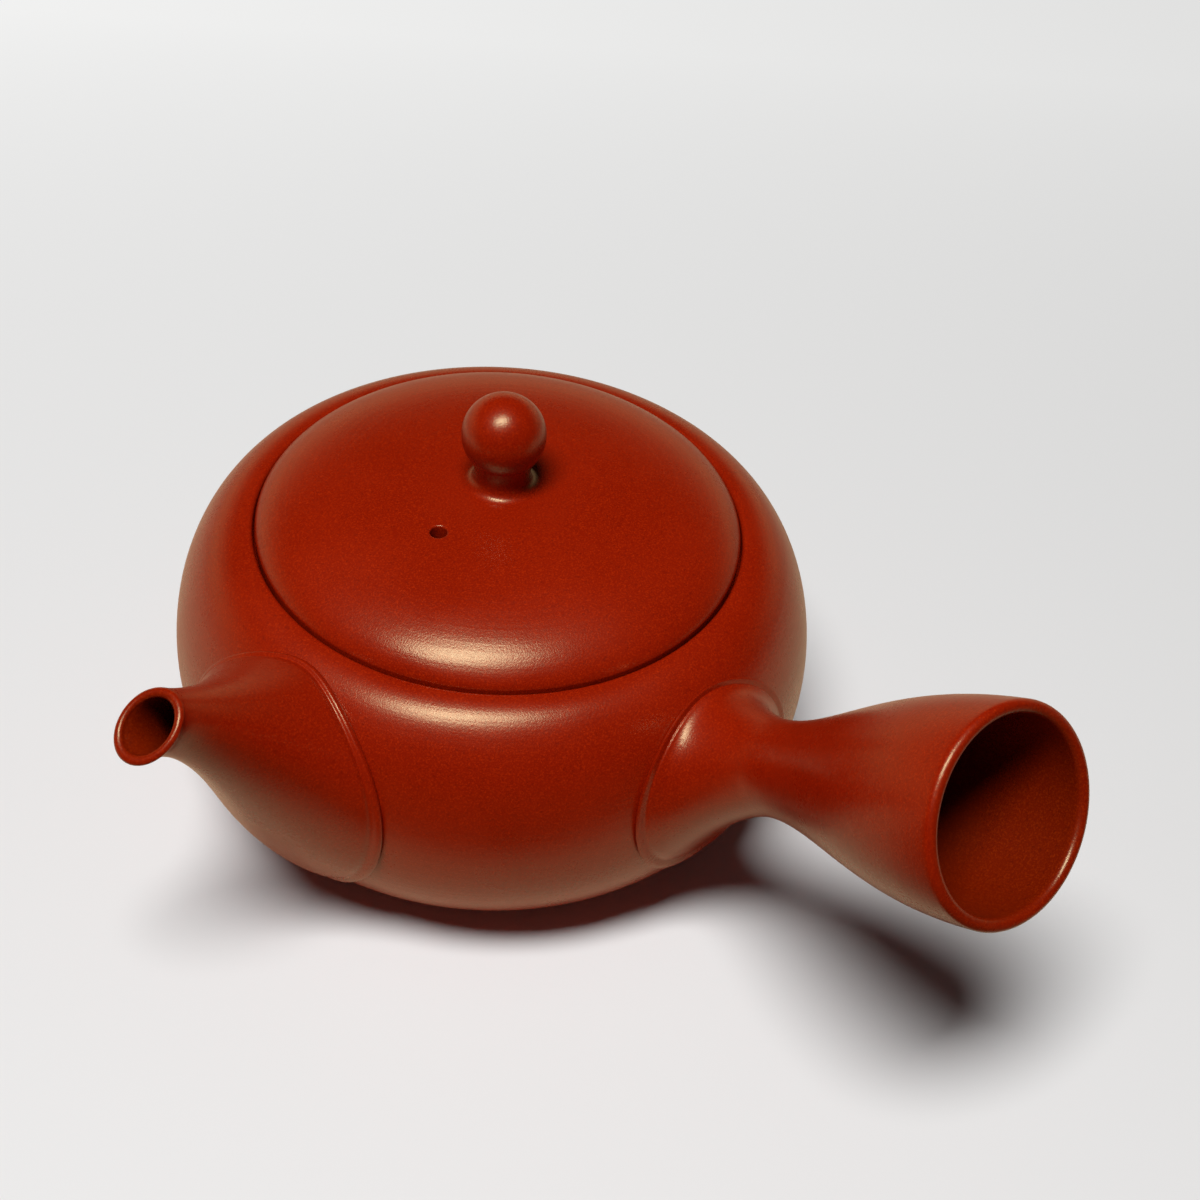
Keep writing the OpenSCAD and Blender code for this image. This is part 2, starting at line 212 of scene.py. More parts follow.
def wheelTree():
    tree, gin, gout, ids = newTree("wheelThrown", [
        ("Profile", "NodeSocketGeometry", None), ("Turns", "NodeSocketInt", 128),
        ("Mark Depth", "NodeSocketFloat", 0.0), ("Mark Spacing", "NodeSocketFloat", 0.002),
        ("Clay", "NodeSocketMaterial", None)])
    n = tree.nodes
    size = n.new("GeometryNodeAttributeDomainSize")
    link(tree, gin.outputs["Profile"], size.inputs[0])
    grid = n.new("GeometryNodeMeshGrid")
    perRow = mathNode(tree, "ADD", gin.outputs["Turns"], 1)
    link(tree, size.outputs["Point Count"], grid.inputs["Vertices X"])
    link(tree, perRow, grid.inputs["Vertices Y"])
    index = n.new("GeometryNodeInputIndex").outputs[0]
    row = mathNode(tree, "FLOOR", mathNode(tree, "DIVIDE", mathNode(tree, "ADD", index, 0.5), perRow))
    step = mathNode(tree, "SUBTRACT", index, mathNode(tree, "MULTIPLY", row, perRow))
    turned = mathNode(tree, "DIVIDE", step, gin.outputs["Turns"])
    angle = mathNode(tree, "MULTIPLY", turned, 2 * math.pi)

    def sampled(source, kind):
        s = n.new("GeometryNodeSampleIndex")
        s.data_type = kind
        s.domain = "POINT"
        link(tree, gin.outputs["Profile"], s.inputs["Geometry"])
        link(tree, source, s.inputs["Value"])
        link(tree, row, s.inputs["Index"])
        return s.outputs[0]

    place = sampled(n.new("GeometryNodeInputPosition").outputs[0], "FLOAT_VECTOR")
    named = n.new("GeometryNodeInputNamedAttribute")
    named.data_type = "FLOAT"
    named.inputs[0].default_value = "along"
    along = sampled(named.outputs[0], "FLOAT")
    split = n.new("ShaderNodeSeparateXYZ")
    link(tree, place, split.inputs[0])
    # rings of the wheel: a noise that runs along the profile only
    noise = n.new("ShaderNodeTexNoise")
    noise.noise_dimensions = "1D"
    noise.inputs["Detail"].default_value = 2.0
    link(tree, mathNode(tree, "DIVIDE", along, gin.outputs["Mark Spacing"]), noise.inputs["W"])
    wave = mathNode(tree, "SUBTRACT", noise.outputs[0], 0.5)
    mark = mathNode(tree, "MULTIPLY", wave, gin.outputs["Mark Depth"])
    offAxis = mathNode(tree, "GREATER_THAN", split.outputs[0], axisClear * mm)
    reach = mathNode(tree, "ADD", split.outputs[0], mathNode(tree, "MULTIPLY", mark, offAxis))
    join = n.new("ShaderNodeCombineXYZ")
    link(tree, mathNode(tree, "MULTIPLY", reach, mathNode(tree, "COSINE", angle)), join.inputs[0])
    link(tree, mathNode(tree, "MULTIPLY", reach, mathNode(tree, "SINE", angle)), join.inputs[1])
    link(tree, split.outputs[2], join.inputs[2])
    put = n.new("GeometryNodeSetPosition")
    store = n.new("GeometryNodeStoreNamedAttribute")
    store.data_type = "FLOAT"
    store.domain = "POINT"
    store.inputs["Name"].default_value = "along"
    merge = n.new("GeometryNodeMergeByDistance")
    merge.inputs["Distance"].default_value = weldRing
    real = n.new("GeometryNodeRealizeInstances")
    paint = n.new("GeometryNodeSetMaterial")
    link(tree, grid.outputs["Mesh"], store.inputs["Geometry"])
    link(tree, along, store.inputs["Value"])
    link(tree, store.outputs[0], put.inputs["Geometry"])
    link(tree, join.outputs[0], put.inputs["Position"])
    link(tree, put.outputs[0], merge.inputs["Geometry"])
    link(tree, merge.outputs[0], real.inputs[0])
    link(tree, real.outputs[0], paint.inputs["Geometry"])
    link(tree, gin.outputs["Clay"], paint.inputs["Material"])
    link(tree, paint.outputs[0], gout.inputs[0])
    return tree, ids


wheel, wheelIds = wheelTree()


def thrown(name, profile, sizes, clay):
    # profile runs from the axis round to the axis again, as (radius, height)
    tidy = [profile[0]]
    for p in profile[1:]:
        if math.dist(p, tidy[-1]) > closest:
            tidy.append(p)
    run, along = 0.0, [0.0]
    for a, b in zip(tidy, tidy[1:]):
        run += math.dist(a, b)
        along.append(run * mm)
    piece = meshObject(name, [(r, 0, z) for r, z in tidy], [])
    mesh = piece.data
    mesh.attributes.new("along", "FLOAT", "POINT").data.foreach_set("value", along)
    mod = piece.modifiers.new("wheel", "NODES")
    mod.node_group = wheel
    mod[wheelIds["Turns"]] = sizes["turns"]
    mod[wheelIds["Mark Depth"]] = sizes["markDepth"] * mm
    mod[wheelIds["Mark Spacing"]] = sizes["markSpacing"] * mm
    mod[wheelIds["Clay"]] = clay
    asPlainMesh(piece)
    oneMaterial(piece, clay)
    faceOut(piece)
    return piece


# fired clay: fine sand and a cloudy firing tone

grainSizes = {
    "cloudScale": 55, "cloudRamp": (0.35, 0.7), "sandScale": 3400, "paleRamp": (0.48, 0.76),
    "gritScale": 1500, "darkRamp": (0.54, 0.76), "gritHeight": 0.5, "roughSpread": 0.06,
    "grainDepth": 0.08, "lineDepth": 0.2,
}


def clayGrainGroup():
    g = grainSizes
    group, gin, gout = shaderGroup("clayGrain", [
        ("Vector", "NodeSocketVector", None), ("Body", "NodeSocketColor", None),
        ("Dark", "NodeSocketColor", None), ("Pale", "NodeSocketColor", None),
        ("Cloud", "NodeSocketFloat", 0.0), ("Speckle", "NodeSocketFloat", 0.0)],
        [("Color", "NodeSocketColor"), ("Height", "NodeSocketFloat"), ("Roughness", "NodeSocketFloat")])
    vector = gin.outputs["Vector"]
    cloud = rampNode(group, noiseNode(group, vector, g["cloudScale"], 3), *g["cloudRamp"])
    sand = noiseNode(group, vector, g["sandScale"], 2, 0.6)
    grit = noiseNode(group, vector, g["gritScale"], 2, 0.6)
    speckle = gin.outputs["Speckle"]
    cloudMask = mathNode(group, "MULTIPLY", cloud, gin.outputs["Cloud"])
    darkMask = mathNode(group, "MULTIPLY", rampNode(group, grit, *g["darkRamp"]), speckle)
    paleMask = mathNode(group, "MULTIPLY", rampNode(group, sand, *g["paleRamp"]), speckle)
    tone = mixTone(group, cloudMask, gin.outputs["Body"], gin.outputs["Dark"])
    tone = mixTone(group, darkMask, tone, gin.outputs["Dark"])
    tone = mixTone(group, paleMask, tone, gin.outputs["Pale"])
    link(group, tone, gout.inputs["Color"])
    height = mathNode(group, "ADD", sand, mathNode(group, "MULTIPLY", grit, g["gritHeight"]))
    link(group, height, gout.inputs["Height"])
    rough = mathNode(group, "MULTIPLY", mathNode(group, "SUBTRACT", grit, cloud), g["roughSpread"])
    link(group, rough, gout.inputs["Roughness"])
    return group


def turningGroup():
    # lines that the wheel and the rib leave along a turned surface
    group, gin, gout = shaderGroup("turningLines", [
        ("Along", "NodeSocketFloat", 0.0), ("Spacing", "NodeSocketFloat", 0.0012)],
        [("Height", "NodeSocketFloat")])
    n = group.nodes.new("ShaderNodeTexNoise")
    n.noise_dimensions = "1D"
    n.inputs["Scale"].default_value = 1.0
    n.inputs["Detail"].default_value = 3.0
    link(group, mathNode(group, "DIVIDE", gin.outputs["Along"], gin.outputs["Spacing"]), n.inputs["W"])
    link(group, n.outputs[0], gout.inputs["Height"])
    return group


clayGrain = clayGrainGroup()
turningLines = turningGroup()


def clayMaterial(name, looks):
    mat = bpy.data.materials.new(name)
    mat.use_nodes = True
    tree = mat.node_tree
    tree.nodes.clear()
    out = tree.nodes.new("ShaderNodeOutputMaterial")
    shader = tree.nodes.new("ShaderNodeBsdfPrincipled")
    shader.inputs["IOR"].default_value = looks["ior"]
    shader.inputs["Specular Tint"].default_value = (*looks["sheen"], 1)
    coords = tree.nodes.new("ShaderNodeTexCoord")
    grain = tree.nodes.new("ShaderNodeGroup")
    grain.node_tree = clayGrain
    link(tree, coords.outputs["Object"], grain.inputs["Vector"])
    for label, key in (("Body", "body"), ("Dark", "dark"), ("Pale", "pale")):
        grain.inputs[label].default_value = (*looks[key], 1)
    grain.inputs["Cloud"].default_value = looks["cloud"]
    grain.inputs["Speckle"].default_value = looks["speckle"]
    lines = tree.nodes.new("ShaderNodeGroup")
    lines.node_tree = turningLines
    lines.inputs["Spacing"].default_value = looks["lineSpacing"] * mm
    along = tree.nodes.new("ShaderNodeAttribute")
    along.attribute_name = "along"
    link(tree, along.outputs["Fac"], lines.inputs["Along"])
    # painted shade: clay inside a hollow piece, past its lip, is painted darker and browner
    hollowShade = tree.nodes.new("ShaderNodeAttribute")
    hollowShade.attribute_name = "hollowShade"
    inside = tree.nodes.new("ShaderNodeMix")
    inside.data_type = "RGBA"
    inside.blend_type = "MULTIPLY"
    inside.inputs["B"].default_value = (*looks["hollowShade"], 1)
    link(tree, hollowShade.outputs["Fac"], inside.inputs["Factor"])
    link(tree, grain.outputs["Color"], inside.inputs["A"])
    link(tree, inside.outputs["Result"], shader.inputs["Base Color"])
    rough = mathNode(tree, "ADD", grain.outputs["Roughness"], looks["roughness"])
    link(tree, rough, shader.inputs["Roughness"])
    fine = tree.nodes.new("ShaderNodeBump")
    fine.inputs["Strength"].default_value = looks["grainBump"]
    fine.inputs["Distance"].default_value = grainSizes["grainDepth"] * mm
    link(tree, grain.outputs["Height"], fine.inputs["Height"])
    turned = tree.nodes.new("ShaderNodeBump")
    turned.inputs["Strength"].default_value = looks["lineBump"]
    turned.inputs["Distance"].default_value = grainSizes["lineDepth"] * mm
    link(tree, lines.outputs["Height"], turned.inputs["Height"])
    link(tree, fine.outputs[0], turned.inputs["Normal"])
    link(tree, turned.outputs[0], shader.inputs["Normal"])
    link(tree, shader.outputs[0], out.inputs["Surface"])
    return mat


satinClay = {
    "body": (0.265, 0.0085, 0.0002), "dark": (0.18, 0.0045, 0.0001), "pale": (0.44, 0.024, 0.001),
    "cloud": 0.3, "speckle": 0.75, "hollowShade": (0.6, 0.95, 0.6), "roughness": 0.28, "ior": 1.5,
    "sheen": (1.0, 0.88, 0.52), "grainBump": 0.3, "lineSpacing": 1.3, "lineBump": 0.10,
}
bareClay = {**satinClay, "roughness": 0.55, "grainBump": 0.6, "lineBump": 0.0}
clayBowl = clayMaterial("satinClayBowl", satinClay)
clayLid = clayMaterial("satinClayLid", {**satinClay, "lineSpacing": 1.1})
clayKnob = clayMaterial("satinClayKnob", {**satinClay, "lineSpacing": 0.8, "lineBump": 0.06})
claySpout = clayMaterial("satinClaySpout", {**satinClay, "lineBump": 0.05})
clayHandle = clayMaterial("satinClayHandle", {**satinClay, "lineBump": 0.08})
clayStrainer = clayMaterial("bareClayStrainer", bareClay)
print("clay ready")


# bowl, in millimetres and degrees as all sizes here, the same as the solids have

bowlSizes = {
    "diameter": 112, "bellyHeight": 27, "footDiameter": 62, "shoulderHeight": 52,
    "lowerFullness": 2.1, "upperFullness": 1.95, "wall": 3.2, "floor": 4,
    "seatDepth": 3, "ledgeWidth": 5, "ledgeThickness": 3, "edgeRound": 0.8, "cornerRound": 0.4,
    "turns": 224, "markDepth": 0.035, "markSpacing": 2.6,
}
# the lid's width also sets the bowl's seat
lidSizes = {
    "share": 0.736, "gap": 0.4, "domeHeight": 8, "domeFullness": 1.5, "crown": 4, "wall": 3.2,
    "flangeHeight": 7, "flangeWall": 2.6, "flangeGap": 0.6, "flangeRound": 0.9, "ease": 0.5, "cornerRound": 0.4,
    "ventDiameter": 2.8, "ventReach": 16.8, "ventTurn": 2.5, "ventRound": 0.35,
    "ventSides": 48, "ventClear": 2.4, "ventApron": (1.1, 0.5), "ventLap": 0.8,
    "turns": 224, "markDepth": 0.02, "markSpacing": 2.2,
}

bowlR = bowlSizes["diameter"] / 2
footR = bowlSizes["footDiameter"] / 2
bellyZ = bowlSizes["bellyHeight"]
shoulderZ = bowlSizes["shoulderHeight"]
lidR = bowlR * lidSizes["share"]
seatR = lidR + lidSizes["gap"]
shoulderR = seatR + bowlSizes["edgeRound"]
ledgeZ = shoulderZ - bowlSizes["seatDepth"]
mouthR = seatR - bowlSizes["ledgeWidth"]
crownZ = shoulderZ + lidSizes["domeHeight"]


def bowlRadiusAt(z):
    if z > bellyZ:
        share, far, n = (z - bellyZ) / (shoulderZ - bellyZ), shoulderR, bowlSizes["upperFullness"]
    else:
        share, far, n = (bellyZ - z) / bellyZ, footR, bowlSizes["lowerFullness"]
    return far + (bowlR - far) * max(1 - min(share, 1) ** n, 0) ** (1 / n)


def domeZ(r):
    p = lidSizes
    return shoulderZ + p["domeHeight"] * max(1 - (r / lidR) ** p["crown"], 0) ** (1 / p["domeFullness"])


def bowlProfile():
    b = bowlSizes
    e, c, wallR = b["edgeRound"], b["cornerRound"], bowlR - b["wall"]
    underZ = ledgeZ - b["ledgeThickness"]
    outside = spread((0, 0), (footR, 0), 10)
    outside += quarter((bowlR, bellyZ), (footR, 0), b["lowerFullness"], 60)[::-1]
    outside += quarter((bowlR, bellyZ), (shoulderR, shoulderZ), b["upperFullness"], 60)
    mouth = arc(shoulderR, shoulderZ - e, e, 90, 180) + arc(seatR - c, ledgeZ + c, c, 0, -90, 4)
    mouth += arc(mouthR + e, ledgeZ - e, e, 90, 180) + arc(mouthR + c, underZ + c, c, 180, 270, 4)
    inside = quarter((wallR, bellyZ), (mouthR, underZ), b["upperFullness"], 48)[::-1]
    inside += quarter((wallR, bellyZ), (footR, b["floor"]), b["lowerFullness"], 48)
    return outside + mouth + inside + spread((footR, b["floor"]), (0, b["floor"]), 10)


bowl = thrown("bowlThrown", bowlProfile(), bowlSizes, clayBowl)
print("bowl thrown")


# lid with its steam hole

def lidProfile():
    p = lidSizes
    flangeR = mouthR - p["flangeGap"]
    boreR, lowZ, ease = flangeR - p["flangeWall"], ledgeZ - p["flangeHeight"], p["ease"]
    top = quarter((lidR, shoulderZ), (0, crownZ), p["domeFullness"], 90, p["crown"])[::-1]
    c, f = p["cornerRound"], p["flangeRound"]
    rim = arc(lidR - ease, ledgeZ + ease, ease, 0, -90, 6) + arc(flangeR + c, ledgeZ - c, c, 90, 180, 4)
    rim += arc(flangeR - f, lowZ + f, f, 0, -90, 6) + arc(boreR + f, lowZ + f, f, 270, 180, 6)
    under = quarter((boreR, ledgeZ), (0, crownZ - p["wall"]), p["domeFullness"], 60, p["crown"])
    return top + rim + under


def openVent(piece):
    # clears a patch of the dome round the hole and fills it with rings down the hole's rounded edge
    v = lidSizes
    turn = math.radians(180 + v["ventTurn"])
    cx, cy = v["ventReach"] * math.cos(turn), v["ventReach"] * math.sin(turn)
    holeR, easeR = v["ventDiameter"] / 2, v["ventRound"]
    underH = crownZ - v["wall"] - ledgeZ
    boreR = mouthR - v["flangeGap"] - v["flangeWall"]
    sides = v["ventSides"]

    def underZ(r):
        return ledgeZ + underH * max(1 - (r / boreR) ** v["crown"], 0) ** (1 / v["domeFullness"])

    bm = bmesh.new()
    bm.from_mesh(piece.data)
    alongLayer = bm.verts.layers.float.get("along")

    def clearPatch(isTop):
        doomed = []
        for f in bm.faces:
            c = f.calc_center_median() / mm
            r = math.hypot(c.x, c.y)
            if math.hypot(c.x - cx, c.y - cy) > holeR + v["ventClear"] or c.z < ledgeZ:
                continue
            if (c.z > (domeZ(r) + underZ(r)) / 2) == isTop:
                doomed.append(f)
        bmesh.ops.delete(bm, geom=doomed, context="FACES")
        return [e for e in bm.edges if e.is_boundary]

    def ring(r, zOf):
        out = []
        for i in range(sides):
            x, y = cx + r * cosd(360 * i / sides), cy + r * sind(360 * i / sides)
            vert = bm.verts.new((x * mm, y * mm, zOf(math.hypot(x, y)) * mm))
            vert[alongLayer] = math.hypot(x, y) * mm
            out.append(vert)
        return out

    def stitch(a, b):
        return [bm.faces.new((a[i], a[(i + 1) % sides], b[(i + 1) % sides], b[i])) for i in range(sides)]

    def loopEdges(verts):
        return [bm.edges.get((verts[i], verts[(i + 1) % sides])) for i in range(sides)]

    topEdges = clearPatch(True)
    underEdges = [e for e in clearPatch(False) if e not in set(topEdges)]
    rings = [ring(holeR + easeR + apron, domeZ) for apron in v["ventApron"]]
    for s in steps(6):
        a = 90 * s
        rings.append(ring(holeR + easeR * (1 - sind(a)), lambda r, k=easeR * (1 - cosd(a)): domeZ(r) - k))
    rings.append(ring(holeR, lambda r: (domeZ(r) + underZ(r)) / 2))
    rings.append(ring(holeR, underZ))
    low = len(rings)
    rings.append(ring(holeR + v["ventLap"], underZ))
    for a, b in zip(rings, rings[1:]):
        stitch(a, b)
    bmesh.ops.bridge_loops(bm, edges=topEdges + loopEdges(rings[0]))
    bmesh.ops.bridge_loops(bm, edges=underEdges + loopEdges(rings[low]))
    bmesh.ops.recalc_face_normals(bm, faces=bm.faces)
    bm.to_mesh(piece.data)
    bm.free()


lid = thrown("lidThrown", lidProfile(), lidSizes, clayLid)
openVent(lid)
smooth(lid)
print("lid made", len(lid.data.polygons))


# ball knob

knobSizes = {
    "ball": 14, "ballHeight": 9.8, "stemTop": 11.2, "stem": 9.3, "foot": 13.4, "fillet": 2.0,
    "sink": 0.03, "plugStep": 0.6, "plugDepth": 0.4,
    "turns": 112, "markDepth": 0.012, "markSpacing": 1.5,
}


def knobProfile():
    k = knobSizes
    ballR, stemR, topR, rootR = k["ball"] / 2, k["stem"] / 2, k["stemTop"] / 2, k["foot"] / 2
    seatZ = domeZ(rootR)
    ballZ = seatZ + k["ballHeight"]
    joinTurn = -math.degrees(math.acos(topR / ballR))
    ball = arc(0, ballZ, ballR, 90, joinTurn, 60)
    joinZ = ballZ + ballR * sind(joinTurn)
    filletTop = seatZ + k["fillet"]
    stem = []
    for s in steps(14, 1):
        pinch = (1 - s) ** 2
        stem.append((stemR + (topR - stemR) * pinch, joinZ + (filletTop - joinZ) * s))
    foot = []
    for s in steps(12, 1):
        r = stemR + (rootR - stemR) * (1 - cosd(90 * s))
        rise = k["fillet"] * (1 - sind(90 * s))
        foot.append((r, domeZ(r) - k["sink"] + rise * (filletTop - domeZ(stemR)) / k["fillet"]))
    plugZ = domeZ(rootR) - k["plugDepth"]
    return ball + stem + foot + [(rootR - k["plugStep"], plugZ), (0, plugZ)]


knob = thrown("knobThrown", knobProfile(), knobSizes, clayKnob)
smooth(knob, 50)
print("knob made", len(knob.data.polygons))


# spout and handle: rings lofted from a seam that lies on the bowl

seamSizes = {
    "width": 4, "edge": 0.7, "slip": 0.05, "bead": 0.16, "beadAt": 0.5, "beadWide": 0.55,
    "groove": 0.22, "grooveAt": 1.75, "grooveWide": 0.5, "crowding": 0.2, "lipSteps": 12,
}


def onBowl(y, z):
    return math.sqrt((bowlRadiusAt(z) + seamSizes["slip"]) ** 2 - y * y)


def seamSlope(z, r):
    return math.degrees(math.atan2(onBowl(0, z - r) - onBowl(0, z + r), 2 * r))


def flank(seamR, tipR, run, rise, flankShare, tipShare, waist, t):
    p = ((0, seamR), (flankShare * sind(rise) * seamR, (1 - flankShare * cosd(rise)) * seamR),
         (run * (1 - tipShare), tipR * (1 - waist)), (run, tipR))
    w = ((1 - t) ** 3, 3 * t * (1 - t) ** 2, 3 * t * t * (1 - t), t ** 3)
    return (sum(a * q[0] for a, q in zip(w, p)), sum(a * q[1] for a, q in zip(w, p)))


def hump(x, wide):
    return math.exp(-(x / wide) ** 2)


def flankLine(seamR, tipR, run, shape, count, beaded):
    # flank from the seam outwards: outside it has a thin bead and a fine groove before the smooth flare
    b = seamSizes
    crowd = b["crowding"]  # rings stand closer together near the seam
    line = [flank(seamR, tipR, run, *shape, u * (crowd + (1 - crowd) * u)) for u in steps(count)]
    if not beaded:
        return line
    out, gone = [], 0.0
    for i, (d, r) in enumerate(line):
        before, after = line[max(i - 1, 0)], line[min(i + 1, count)]
        dx, dy = after[0] - before[0], after[1] - before[1]
        size = math.hypot(dx, dy)
        if i:
            gone += math.dist(line[i - 1], (d, r))
        lift = b["bead"] * hump(gone - b["beadAt"], b["beadWide"])
        lift -= b["groove"] * hump(gone - b["grooveAt"], b["grooveWide"])
        out.append((d - lift * dy / size, r + lift * dx / size))
    return out


def bentRun(start, bend, end, share):
    w = ((1 - share) ** 2, 2 * share * (1 - share), share * share)
    return tuple(w[0] * a + w[1] * b + w[2] * c for a, b, c in zip(start, bend, end))


def lipRings(centre, outerR, innerR, oval, slope, run, yaw=0):
    half = (outerR - innerR) / 2
    out = []
    for s in steps(seamSizes["lipSteps"], 1)[:-1]:
        r = innerR + half + half * cosd(180 * s)
        d = half * sind(180 * s)
        x, z = centre[0] + d * cosd(slope), centre[1] + d * sind(slope)
        out.append((x, z, r, r * oval, r * oval, slope, 0, outerR, run, yaw))
    return out


def seamRings(base, seamR, slope, count=4):
    inner = seamR - seamSizes["width"]
    rs = [inner + (seamR - seamSizes["edge"] - inner) * s for s in steps(count)][1:-1]
    return [(base[0], base[1], r, r, r, slope, 1, r, 0, 0) for r in rs]


def edgeRings(base, seamR, slope, count=8):
    out = []
    for s in steps(count)[:-1]:
        r = seamR - seamSizes["edge"] * (1 - sind(90 * s))
        d = seamSizes["edge"] * (1 - cosd(90 * s))
        out.append((base[0] + d * cosd(slope), base[1] + d * sind(slope), r, r, r, slope, 1, r, d, 0))
    return out


def lofted(name, rings, base, slope, sides, turn, clay, lipAt):
    # a ring is centre x and z, half width, height, depth, slope, lean, radius at the seam, distance along the run
    # and turn about the upright
    points, along, hollowShade = [], [], []
    spin = (cosd(turn), sind(turn))
    for j, (cx, cz, w, up, down, ringSlope, lean, seamR, run, yaw) in enumerate(rings):
        for i in range(sides):
            c, s = cosd(360 * i / sides), sind(360 * i / sides)
            seamUp = seamR * s
            saddle = 0
            if lean:
                saddle = onBowl(seamR * c, base[1] + seamUp * cosd(slope)) - base[0] + seamUp * sind(slope)
            h = (up if s > 0 else down) * s
            out, across = -h * sind(ringSlope), w * c
            x = cx + out * cosd(yaw) - across * sind(yaw) + lean * saddle
            y, z = out * sind(yaw) + across * cosd(yaw), cz + h * cosd(ringSlope)
            points.append((x * spin[0] - y * spin[1], x * spin[1] + y * spin[0], z))
            along.append(run * mm)
            # painted shade inside the piece: 0 outside, rising across the lip to 1 inside
            hollowShade.append(min(max((j - lipAt) / seamSizes["lipSteps"], 0), 1))
    count = len(rings)
    faces = []
    for j in range(count):
        a, b = j * sides, ((j + 1) % count) * sides
        for i in range(sides):
            k = (i + 1) % sides
            faces.append((a + i, b + i, b + k, a + k))
    piece = meshObject(name, points, faces)
    piece.data.attributes.new("along", "FLOAT", "POINT").data.foreach_set("value", along)
    piece.data.attributes.new("hollowShade", "FLOAT", "POINT").data.foreach_set("value", hollowShade)
    piece.data.materials.append(clay)
    faceOut(piece)
    smooth(piece, 60)
    return piece


spoutSizes = {
    "seamLow": 0.184, "seamHigh": 0.99, "out": 20.6, "above": 9.4, "tip": 10, "tipWall": 1.3, "rise": 41,
    "flank": 0.84, "neck": 0.39, "waist": 0.53, "chin": 0.6, "tipSlope": 4.5, "bend": 6.7, "cut": 57, "oval": 1.18,
    "sides": 144, "rings": 80,
}
spoutSeamR = shoulderZ * (spoutSizes["seamHigh"] - spoutSizes["seamLow"]) / 2
spoutSeamZ = shoulderZ * (spoutSizes["seamHigh"] + spoutSizes["seamLow"]) / 2
spoutSlope = seamSlope(spoutSeamZ, spoutSeamR)
spoutBase = (onBowl(spoutSeamR, spoutSeamZ), spoutSeamZ)


def spoutSkin(seamR, tipR, lift, tip, count):
    s = spoutSizes
    start = (spoutBase[0] + lift * cosd(spoutSlope), spoutBase[1] + lift * sind(spoutSlope))
    run = math.dist(start, tip)
    bend = (tip[0] - s["bend"] * cosd(s["tipSlope"]), tip[1] - s["bend"] * sind(s["tipSlope"]))
    out = []
    shape = (s["rise"], s["flank"], s["neck"], s["waist"])
    for d, r in flankLine(seamR, tipR, run, shape, count, lift > 0):
        share = min(max(d / run, 0), 1)
        c = bentRun(start, bend, tip, share)
        cut = share ** 3
        slope = spoutSlope + (s["cut"] - spoutSlope) * cut
        above = r * (1 + (s["oval"] - 1) * cut)
        chin = share * (1 - share) ** 2 * 27 / 4  # is 1 at its fullest, a third of the way along
        below = above * (1 + s["chin"] * chin)
        out.append((c[0], c[1], r, above, below, slope, (1 - share) ** 2, seamR, d, 0))
    return out


def makeSpout():
    s = spoutSizes
    tip = (bowlR + s["out"], shoulderZ + s["above"])
    tipR = s["tip"] / 2
    innerR = tipR - s["tipWall"]
    rings = edgeRings(spoutBase, spoutSeamR, spoutSlope)
    rings += spoutSkin(spoutSeamR, tipR, seamSizes["edge"], tip, s["rings"])
    lipAt = len(rings)
    rings += lipRings(tip, tipR, innerR, s["oval"], s["cut"], math.dist(spoutBase, tip))
    rings += spoutSkin(spoutSeamR - seamSizes["width"], innerR, 0, tip, s["rings"])[::-1]
    rings += seamRings(spoutBase, spoutSeamR, spoutSlope)
    return lofted("spoutLuted", rings, spoutBase, spoutSlope, s["sides"], 180, claySpout, lipAt)


spout = makeSpout()
print("spout made", len(spout.data.polygons))

handleSizes = {
    "angle": 81.1, "seamLow": 0.272, "seamHigh": 0.948, "neckOut": 10, "neckBelow": 7.2, "neck": 15.3, "rise": 30,
    "flank": 0.34, "neckShare": 0.28, "bend": 10.5, "slope": 31.2, "length": 43.2, "end": 32.1, "swell": 0.4,
    "cut": 29.9, "endTurn": 5, "wall": 2, "sides": 144, "rings": 60, "bellRings": 64,
}
handleSeamR = shoulderZ * (handleSizes["seamHigh"] - handleSizes["seamLow"]) / 2
handleSeamZ = shoulderZ * (handleSizes["seamHigh"] + handleSizes["seamLow"]) / 2
handleSlope = seamSlope(handleSeamZ, handleSeamR)
handleBase = (onBowl(handleSeamR, handleSeamZ), handleSeamZ)
neckSpot = (bowlR + handleSizes["neckOut"], shoulderZ - handleSizes["neckBelow"])


def handleSkin(seamR, tipR, lift, count):
    h = handleSizes
    start = (handleBase[0] + lift * cosd(handleSlope), handleBase[1] + lift * sind(handleSlope))
    run = math.dist(start, neckSpot)
    bend = (neckSpot[0] - h["bend"] * cosd(h["slope"]), neckSpot[1] - h["bend"] * sind(h["slope"]))
    out = []
    shape = (h["rise"], h["flank"], h["neckShare"], 0)
    for d, r in flankLine(seamR, tipR, run, shape, count, lift > 0):
        share = min(max(d / run, 0), 1)
        c = bentRun(start, bend, neckSpot, share)
        slope = handleSlope + (h["slope"] - handleSlope) * share
        out.append((c[0], c[1], r, r, r, slope, (1 - share) ** 2, seamR, d, 0))
    return out


def bellRings(fromR, toR, count):
    h = handleSizes
    run = math.dist(handleBase, neckSpot)
    out = []
    for s in steps(count, 1):
        d = s * h["length"]
        early = s * (1 + h["swell"]) / (1 + h["swell"] * s)
        r = fromR + (toR - fromR) * (1 - cosd(180 * early)) / 2
        slope = h["slope"] + (h["cut"] - h["slope"]) * s ** 3
        c = (neckSpot[0] + d * cosd(h["slope"]), neckSpot[1] + d * sind(h["slope"]))
        out.append((c[0], c[1], r, r, r, slope, 0, fromR, run + d, -h["endTurn"] * s ** 3))
    return out


